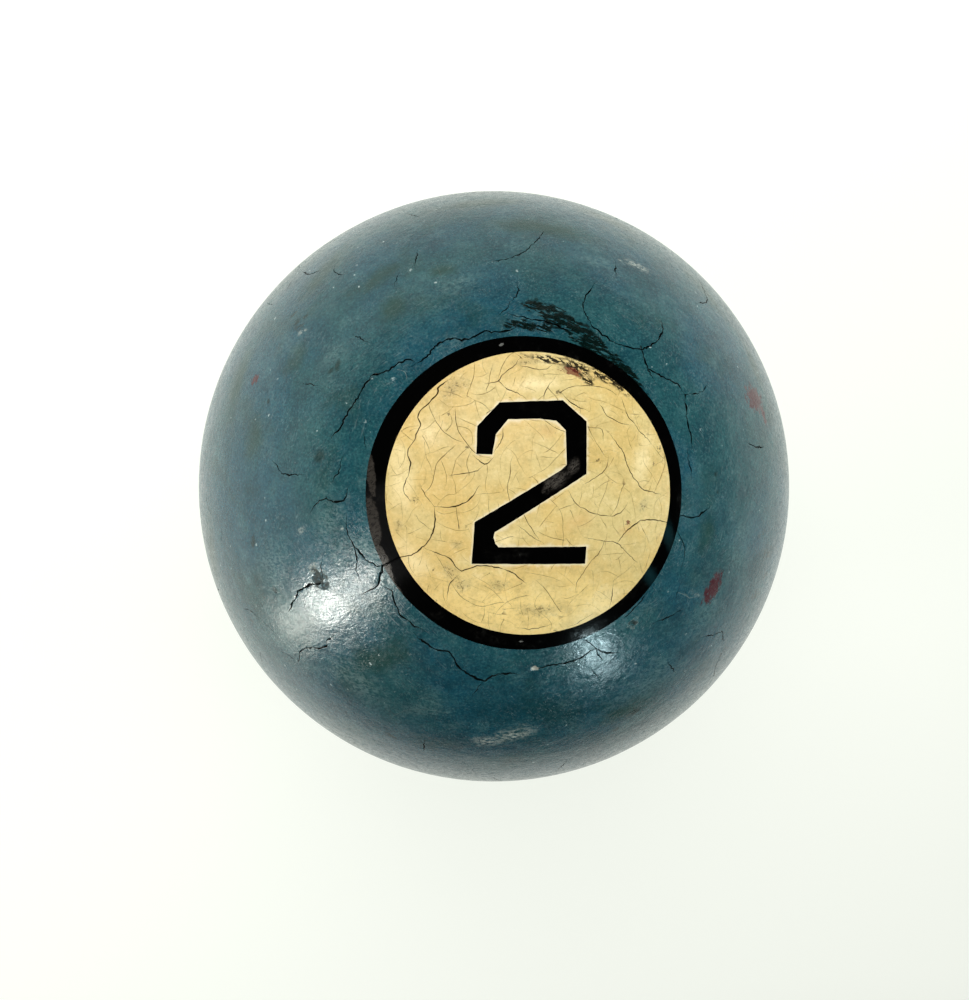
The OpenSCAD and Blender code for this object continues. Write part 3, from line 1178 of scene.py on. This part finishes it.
def blue_composition():
    """Worn teal-blue composition: mottled, stained, scratched and cracked, with painted light and shade in
    places.
    """
    p = Paint("blue_composition", (0.008, 0.068, 0.097))
    broad = p.noise(9, 3, 0.55, shift=3)
    cloudy = p.noise(3.2, 5, 0.65, shift=8)
    mottle = p.noise(0.8, 4, 0.7, shift=15)
    grain = p.noise(0.19, 2, 0.6, shift=4)
    p.lay(p.band(broad, 0.38, 0.62), (0.013, 0.072, 0.08))
    p.lay(p.band(cloudy, 0.42, 0.7, 0, 0.65), (0.004, 0.036, 0.05))
    p.lay(p.band(cloudy, 0.46, 0.28, 0, 0.45), (0.036, 0.12, 0.126))
    p.lay(p.band(mottle, 0.5, 0.72, 0, 0.5), (0.003, 0.031, 0.045))
    p.lay(p.band(mottle, 0.46, 0.28, 0, 0.4), (0.038, 0.12, 0.127))
    p.lay(p.band(grain, 0.5, 0.68, 0, 0.6), (0.004, 0.031, 0.045))
    p.lay(p.band(grain, 0.48, 0.32, 0, 0.4), (0.052, 0.155, 0.165))
    olive = p.most(p.stains("olive", 0.9, 1.5, shift=1),
                   p.band(p.noise(6, 4, 0.6, shift=27), 0.54, 0.7, 0, 0.5))
    p.lay(olive, (0.009, 0.042, 0.029), 0.7)
    # Painted dark reflection: a darker teal patch on the side below the numeral's foot.
    shaded = p.stains([(0.8, -20, 7.5, 2.6, 6)], 1, 1.8, 1.4)
    p.lay(shaded, (0.002, 0.03, 0.037), 0.55)
    # Pale bloom, partly the composition's own and partly painted light where the sides should look lit.
    bloom = p.most(p.stains("bloom", 1, 1.6, 0.9, 5),
                   p.band(p.noise(4.5, 6, 0.75, shift=21), 0.5, 0.72))
    bloom = p.times(bloom, p.band(p.noise(0.24, 3, 0.7, (1.7, 0.8, 1), 6), 0.36, 0.66))
    p.lay(bloom, (0.115, 0.215, 0.21), 0.55)
    flaked = p.times(p.stains(FLAKED, 0.8, 0.8), p.band(p.noise(0.4, 3, 0.7, shift=5), 0.42, 0.52))
    dark = p.most(p.stains(DARK_SPOTS, 0.7, 0.4), p.times(flaked, 0.9))
    p.lay(dark, (0.001, 0.017, 0.015), 0.75)
    streaky = p.noise(0.3, 4, 0.75, (1, 2.4, 1.2), 16)
    red = p.stains(RED_MARKS, 0.4, rag=streaky, ragged=2.6)
    p.lay(red, (0.055, 0.006, 0.012))
    scratches = p.most(p.dashes(32, 2), p.dashes(-48, 14), p.dashes(75, 23))
    p.lay(scratches, (0.3, 0.38, 0.38), 0.16)
    white = p.most(p.specks(1.1, 0.12, 0.55), p.specks(3.2, 0.18, 0.5, 5))
    p.lay(white, (0.5, 0.6, 0.58), 0.7)
    frost = p.times(p.stains(WHITE_SCUFFS, 0.9, 0.9),
                    p.band(p.noise(0.26, 3, 0.75, (1.6, 0.8, 1), 9), 0.44, 0.58))
    p.lay(frost, (0.4, 0.44, 0.39), 0.85)
    streaks = p.noise(0.19, 3, 0.7, (5, 1, 1.6), 2, where=p.turned_where(-20))
    smudge = p.times(p.stains("smudge", 0.6, 1.2, 1.4), p.band(streaks, 0.6, 0.5))
    cores = p.times(p.stains(SMUDGE_CORES, 0.5, rag=streaks, ragged=3), p.band(streaks, 0.68, 0.57))
    smudge = p.most(smudge, cores)
    p.lay(p.band(smudge, 0.1, 0.7), (0.001, 0.006, 0.005))
    chip = p.mark("chip")
    crumble = p.noise(0.3, 3, 0.8, shift=12)
    crumbs = p.band(crumble, 0.42, 0.6)
    chip = p.times(chip, p.band(crumble, 0.34, 0.66, 0.3, 1.8))
    p.lay(p.times(p.band(chip, 0.1, 0.5), crumbs), (0.3, 0.34, 0.3), 0.5)
    p.lay(p.times(p.band(chip, 0.45, 0.75), p.band(crumbs, 0, 1, 0.97, 0.8)), (0.003, 0.006, 0.005))
    pale = p.mark("pale")
    p.lay(p.band(pale, 0.1, 1, 0, 0.9), (0.5, 0.5, 0.42))
    crack = p.mark("crack")
    p.lay(p.band(crack, 0.13, 0.4), (0.001, 0.002, 0.002))
    rough = p.band(p.noise(0.5, 6, 0.85, shift=50), 0.36, 0.64, 0.13, 0.33)
    rough = p.math("ADD", rough, p.times(p.most(scratches, bloom), 0.12))
    open_now = p.most(p.band(crack, 0.1, 0.5, 0, 0.3), p.band(chip, 0.2, 0.5, 0, 1))
    rough = p.math("ADD", rough, p.times(open_now, 0.6), True)
    rubbed = p.turned_where(35)
    fine = p.bump(p.noise(0.18, 2, 0.6, (1.6, 0.8, 1), 60, rubbed, 0.3), 0.016)
    coarse = p.bump(p.noise(0.5, 2, 0.6, (1.4, 0.9, 1), 70, rubbed, 0.3), 0.026, fine)
    coarse = p.bump(p.noise(1.9, 2, 0.5, shift=80), 0.05, coarse)
    cuts = p.bump(scratches, -0.005, coarse)
    return p.finish(rough, cuts)


def cream_composition():
    """Aged cream composition: warm and mottled, crazed, stained and flecked with black, with painted light
    low on the disc and painted highlights near its edge.
    """
    p = Paint("cream_composition", (0.72, 0.51, 0.185))
    broad = p.noise(4.5, 4, 0.6, shift=4)
    blotches = p.noise(1.3, 5, 0.7, shift=9)
    fine = p.noise(0.26, 4, 0.75)
    p.lay(p.band(broad, 0.38, 0.62), (0.72, 0.56, 0.24))
    # Paler cream, partly its own tone and partly painted highlights near the disc's edge.
    p.lay(p.stains(PALE_CREAM_AND_HIGHLIGHTS, 1, 1.4, 0.9), (0.95, 0.78, 0.42), 0.75)
    # Painted light: the lower part of the disc is brightened.
    painted_light_patch = p.stains([(-1, -9.4, 12, 4.2, 0)], 1, 2)
    p.lay(painted_light_patch, (0.97, 0.72, 0.28), 0.8)
    p.lay(p.band(blotches, 0.46, 0.72, 0, 0.55), (0.52, 0.37, 0.13))
    p.lay(p.band(blotches, 0.46, 0.28, 0, 0.5), (0.86, 0.7, 0.36))
    p.lay(p.band(fine, 0.5, 0.74, 0, 0.5), (0.42, 0.3, 0.11))
    p.lay(p.band(fine, 0.48, 0.3, 0, 0.3), (0.92, 0.75, 0.4))
    warm = p.stains([(4, -2.2, 2, 1.2, 20), (1.4, 5, 1.2, 0.8, 0), (8, -3, 1, 0.6, 0)], 1, 1.5)
    p.lay(warm, (0.66, 0.36, 0.13), 0.3)
    dirt = p.stains(DISC_DIRT, 0.95, 0.7, shift=3)
    p.lay(dirt, (0.34, 0.27, 0.13), 0.36)
    specks = p.band(p.noise(0.24, 3, 0.75, shift=31), 0.54, 0.62)
    p.lay(p.times(dirt, specks), (0.1, 0.075, 0.03), 0.75)
    dots = p.most(p.specks(1.4, 0.2, 0.6, 3), p.specks(4, 0.3, 0.3, 8))
    p.lay(dots, (0.1, 0.065, 0.025), 0.75)
    flecks = p.noise(0.24, 2, 0.65, (2, 0.9, 1.2), 2, where=p.turned_where(-28))
    smudge = p.times(p.stains(DISC_SMUDGE, 0.6, 0.8, 1.2), p.band(flecks, 0.44, 0.5))
    p.lay(smudge, (0.012, 0.009, 0.006), 0.97)
    red = p.stains([(3.7, 10.1, 0.9, 0.45, -25), (8.3, -2.3, 0.3, 0.2, 0)], 0.5, rag=flecks, ragged=4)
    p.lay(red, (0.14, 0.014, 0.014), 0.8)
    crack = p.mark("crack")
    p.lay(p.band(crack, 0.02, 0.2, 0, 0.4), (0.26, 0.16, 0.05))
    p.lay(p.band(crack, 0.12, 0.6), (0.035, 0.022, 0.008))
    p.lay(p.band(p.mark("margin"), 0.1, 1, 0, 0.6), (0.84, 0.76, 0.56))
    rough = p.math("ADD", 0.16, p.times(p.noise(0.5, 4, 0.7, shift=50), 0.18))
    bumps = p.bump(p.noise(0.3, 3, 0.7, shift=60), 0.008)
    return p.finish(rough, bumps)


def black_composition():
    """Glossy black composition with grey scuffed places, and a painted grey reflection on the ring's left
    side.
    """
    p = Paint("black_composition", (0.0006, 0.0006, 0.0006))
    scuffs = p.times(p.band(p.noise(2.4, 4, 0.7, shift=12), 0.52, 0.72),
                     p.band(p.noise(0.3, 4, 0.75, shift=5), 0.4, 0.75))
    p.lay(scuffs, (0.12, 0.115, 0.1), 0.08)
    grit = p.noise(0.22, 4, 0.8, (2, 0.8, 1), 7, where=p.turned_where(33))
    # The ring's left side: partly real grey-brown wear and partly a painted reflection of the window.
    worn = p.stains(RING_WEAR_AND_REFLECTION, 0.3, 0.6, 0.9)
    p.lay(p.times(worn, p.band(grit, 0.36, 0.58, 0.3, 1)), (0.034, 0.029, 0.024))
    rubbed = p.times(p.stains([(2.1, 1.1, 1.7, 0.8, 33), (3.5, 2.2, 1, 0.6, 60)], 0.9, 0.6),
                     p.band(grit, 0.38, 0.58))
    p.lay(rubbed, (0.065, 0.056, 0.047))
    film = p.stains(RING_FILM, 1, 1.2, 1.2)
    p.lay(film, (0.006, 0.026, 0.03), 0.7)
    dots = p.stains([(-2.05, 12.4, 0.25, 0.15, 30), (-0.4, -12.4, 0.2, 0.1, 0)], 0.4, 0.3)
    p.lay(dots, (0.12, 0.12, 0.11))
    crack = p.mark("crack")
    p.lay(p.band(crack, 0.1, 0.36), (0.0006, 0.0006, 0.0006))
    rough = p.math("ADD", 0.1, p.times(scuffs, 0.2))
    rough = p.math("ADD", rough, p.times(p.most(worn, rubbed), 0.1))
    fine = p.bump(p.noise(0.2, 3, 0.7, shift=60), 0.004)
    return p.finish(rough, fine)


def core_composition():
    """Plain brown filled composition, unseen inside the covering."""
    p = Paint("core_composition", (0.15, 0.1, 0.06))
    grain = p.noise(0.8, 5, 0.7)
    p.lay(p.band(grain, 0.35, 0.7), (0.27, 0.2, 0.13))
    return p.finish(0.8, p.bump(grain, 0.05))


# ---------------------------------------------------------------- the ball
MATERIALS = {
    "blue_composition": blue_composition(),
    "cream_composition": cream_composition(),
    "black_composition": black_composition(),
    "core_composition": core_composition(),
}
STANDS_FOR = {
    "ball_cover": "cover",
    "upper_ring": "top_ring", "upper_disc": "top_disc", "upper_numeral": "top_numeral",
    "lower_ring": "bottom_ring", "lower_disc": "bottom_disc",
    "lower_numeral": "bottom_numeral",
}
for solid, slot in make_pieces():
    cavity = solid.add_cavity(CAVITY_R) if solid.name == "ball_cover" else ()
    made = solid.build(MATERIALS[slot], slot, cavity)
    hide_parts(STANDS_FOR[made.name])
core = frame["nodes"]["core"]
core.data.materials.clear()
core.data.materials.append(MATERIALS["core_composition"])


# ---------------------------------------------------------------- floor, light, camera
def make_card(name, half, z, material):
    """A flat square of this half side at height z, facing up."""
    mesh = bpy.data.meshes.new(name)
    corners = [(-half, -half, z), (half, -half, z), (half, half, z), (-half, half, z)]
    mesh.from_pydata(corners, [], [(0, 1, 2, 3)])
    mesh.materials.append(material)
    card = bpy.data.objects.new(name, mesh)
    bpy.context.scene.collection.objects.link(card)
    return card


def make_floor():
    """A pale floor that the ball lies on, which glows with painted light."""
    paper = bpy.data.materials.new("pale_paper_with_painted_glow")
    paper.use_nodes = True
    p = Nodes(paper.node_tree)
    shader = p.tree.nodes["Principled BSDF"]
    p.feed((0.2, 0.2, 0.183), shader.inputs["Base Color"])
    p.feed(0.9, shader.inputs["Roughness"])
    p.feed(0.2, shader.inputs["Specular IOR Level"])
    p.feed((0.97, 1, 0.92), shader.inputs["Emission Color"])
    where = p.node("ShaderNodeTexCoord").outputs["Object"]
    # Painted light: the floor's glow is brightest up and to the left, and fades beyond about a tenth of a
    # metre toward -Y and, less, toward +Y.
    across = p.band(p.along(where, (-0.5, 0.85, 0)), -0.3, 0.03, 0.2, 0.93, "LINEAR")
    north = p.along(where, (0, 1, 0))
    ends = p.times(p.band(north, -0.11, -0.06, 0.2, 1), p.band(north, 0.06, 0.11, 1, 0.6))
    p.feed(p.times(across, ends), shader.inputs["Emission Strength"])
    floor = make_card("floor", 4, -BALL_R * MM, paper)


def toward_sky(bearing, height):
    """The direction of a bearing and a height in degrees."""
    a, h = math.radians(bearing), math.radians(height)
    return Vector((math.cos(h) * math.cos(a), math.cos(h) * math.sin(a), math.sin(h)))


def face_ball(thing, bearing, height, distance):
    """Puts a light or a card at a bearing and a height in degrees, facing the ball."""
    toward = toward_sky(bearing, height)
    thing.location = toward * distance
    thing.rotation_euler = toward.to_track_quat("Z", "Y").to_euler()


def make_flag(name, bearing, height, distance, size):
    """A soft-edged dark card facing the ball, which only reflections show."""
    dark = bpy.data.materials.new(name)
    dark.use_nodes = True
    p = Nodes(dark.node_tree)
    p.tree.nodes.remove(p.tree.nodes["Principled BSDF"])
    black = p.node("ShaderNodeEmission")
    p.feed(0, black.inputs["Strength"])
    mixed = p.node("ShaderNodeMixShader")
    fade = p.band(p.length(p.node("ShaderNodeTexCoord").outputs["Object"]), 0.4, 1)
    p.feed(fade, mixed.inputs[0])
    p.feed(black.outputs[0], mixed.inputs[1])
    p.feed(p.node("ShaderNodeBsdfTransparent").outputs[0], mixed.inputs[2])
    p.feed(mixed.outputs[0], p.tree.nodes["Material Output"].inputs["Surface"])
    flag = make_card(name, 1, 0, dark)
    face_ball(flag, bearing, height, distance)
    flag.scale = (size[0] / 2, size[1] / 2, 1)
    flag.visible_camera = False
    flag.visible_diffuse = False
    flag.visible_shadow = False
    flag.visible_transmission = False


def make_light(name, bearing, height, distance, size, radiance, tint=(1, 1, 1),
               gloss=True, diffuse=True):
    """A soft rectangular light, facing the ball."""
    data = bpy.data.lights.new(name, "AREA")
    data.shape = "RECTANGLE"
    data.size, data.size_y = size
    data.energy = radiance * math.pi * size[0] * size[1]
    data.color = tint
    light = bpy.data.objects.new(name, data)
    face_ball(light, bearing, height, distance)
    light.visible_camera = False
    light.visible_glossy = gloss
    light.visible_diffuse = diffuse
    bpy.context.scene.collection.objects.link(light)


def make_world():
    """A pale surrounding, brightest near the horizon up and left, and dark overhead."""
    world = bpy.data.worlds.new("studio")
    world.use_nodes = True
    p = Nodes(world.node_tree)
    where = p.node("ShaderNodeTexCoord").outputs["Generated"]
    height = p.band(p.along(where, (0, 0, 1)), 0.05, 0.42, 1.4, 0.004)
    side = p.along(where, (-0.93, 0.36, 0))
    background = p.tree.nodes["Background"]
    p.feed(p.times(height, p.band(side, -0.2, 0.9, 0.16, 1)), background.inputs["Strength"])
    p.feed(p.mix(p.band(side, -0.7, 0.6), (0.8, 0.97, 1), (0.9, 1, 0.88)),
           background.inputs["Color"])
    bpy.context.scene.world = world


def make_camera():
    """Nearly straight above the upper disc, close enough for strong perspective."""
    toward = Vector((-0.101, 0.021, 0.9947)).normalized()
    aim = Vector((-0.9, -1.3, 0))
    eye = toward * CAMERA_DISTANCE
    back = (eye - aim).normalized()
    right = Vector((0, 1, 0)).cross(back).normalized()
    up = back.cross(right)
    data = bpy.data.cameras.new("camera")
    data.sensor_width = 36
    data.lens = 52.1
    data.clip_start = 0.01
    camera = bpy.data.objects.new("camera", data)
    turn = Matrix((right, up, back)).transposed().to_4x4()
    camera.matrix_world = Matrix.Translation(eye * MM) @ turn
    bpy.context.scene.collection.objects.link(camera)
    bpy.context.scene.camera = camera


make_floor()
make_world()
make_light("overhead", 100, 57, 0.6, (0.5, 0.5), 4.5, gloss=False)
make_light("side_fill", -6, 25, 0.8, (0.4, 0.3), 11, (0.86, 1, 1), gloss=False)
make_light("window_fill", 200, 20, 1.2, (0.3, 0.5), 15.5, gloss=False)
make_light("window", 213.3, 16, 0.12, (0.009, 0.03), 60, (1, 1, 0.92), diffuse=False)
make_light("window_top", 212.6, 34, 0.12, (0.009, 0.02), 46, (1, 1, 0.92), diffuse=False)
make_light("window_glare", 215, 12, 0.112, (0.017, 0.1), 9, (1, 1, 0.88), diffuse=False)
make_light("far_window", 300, 19, 1.2, (0.05, 0.3), 84, (0.7, 0.95, 1), diffuse=False)
make_light("pale_wall", 200, 38, 1.2, (0.7, 0.5), 0.12, diffuse=False)
make_flag("dark_card", 272, -3, 0.13, (0.42, 0.2))
make_camera()
bpy.context.scene.view_settings.view_transform = "Standard"
bpy.context.scene.view_settings.look = "None"
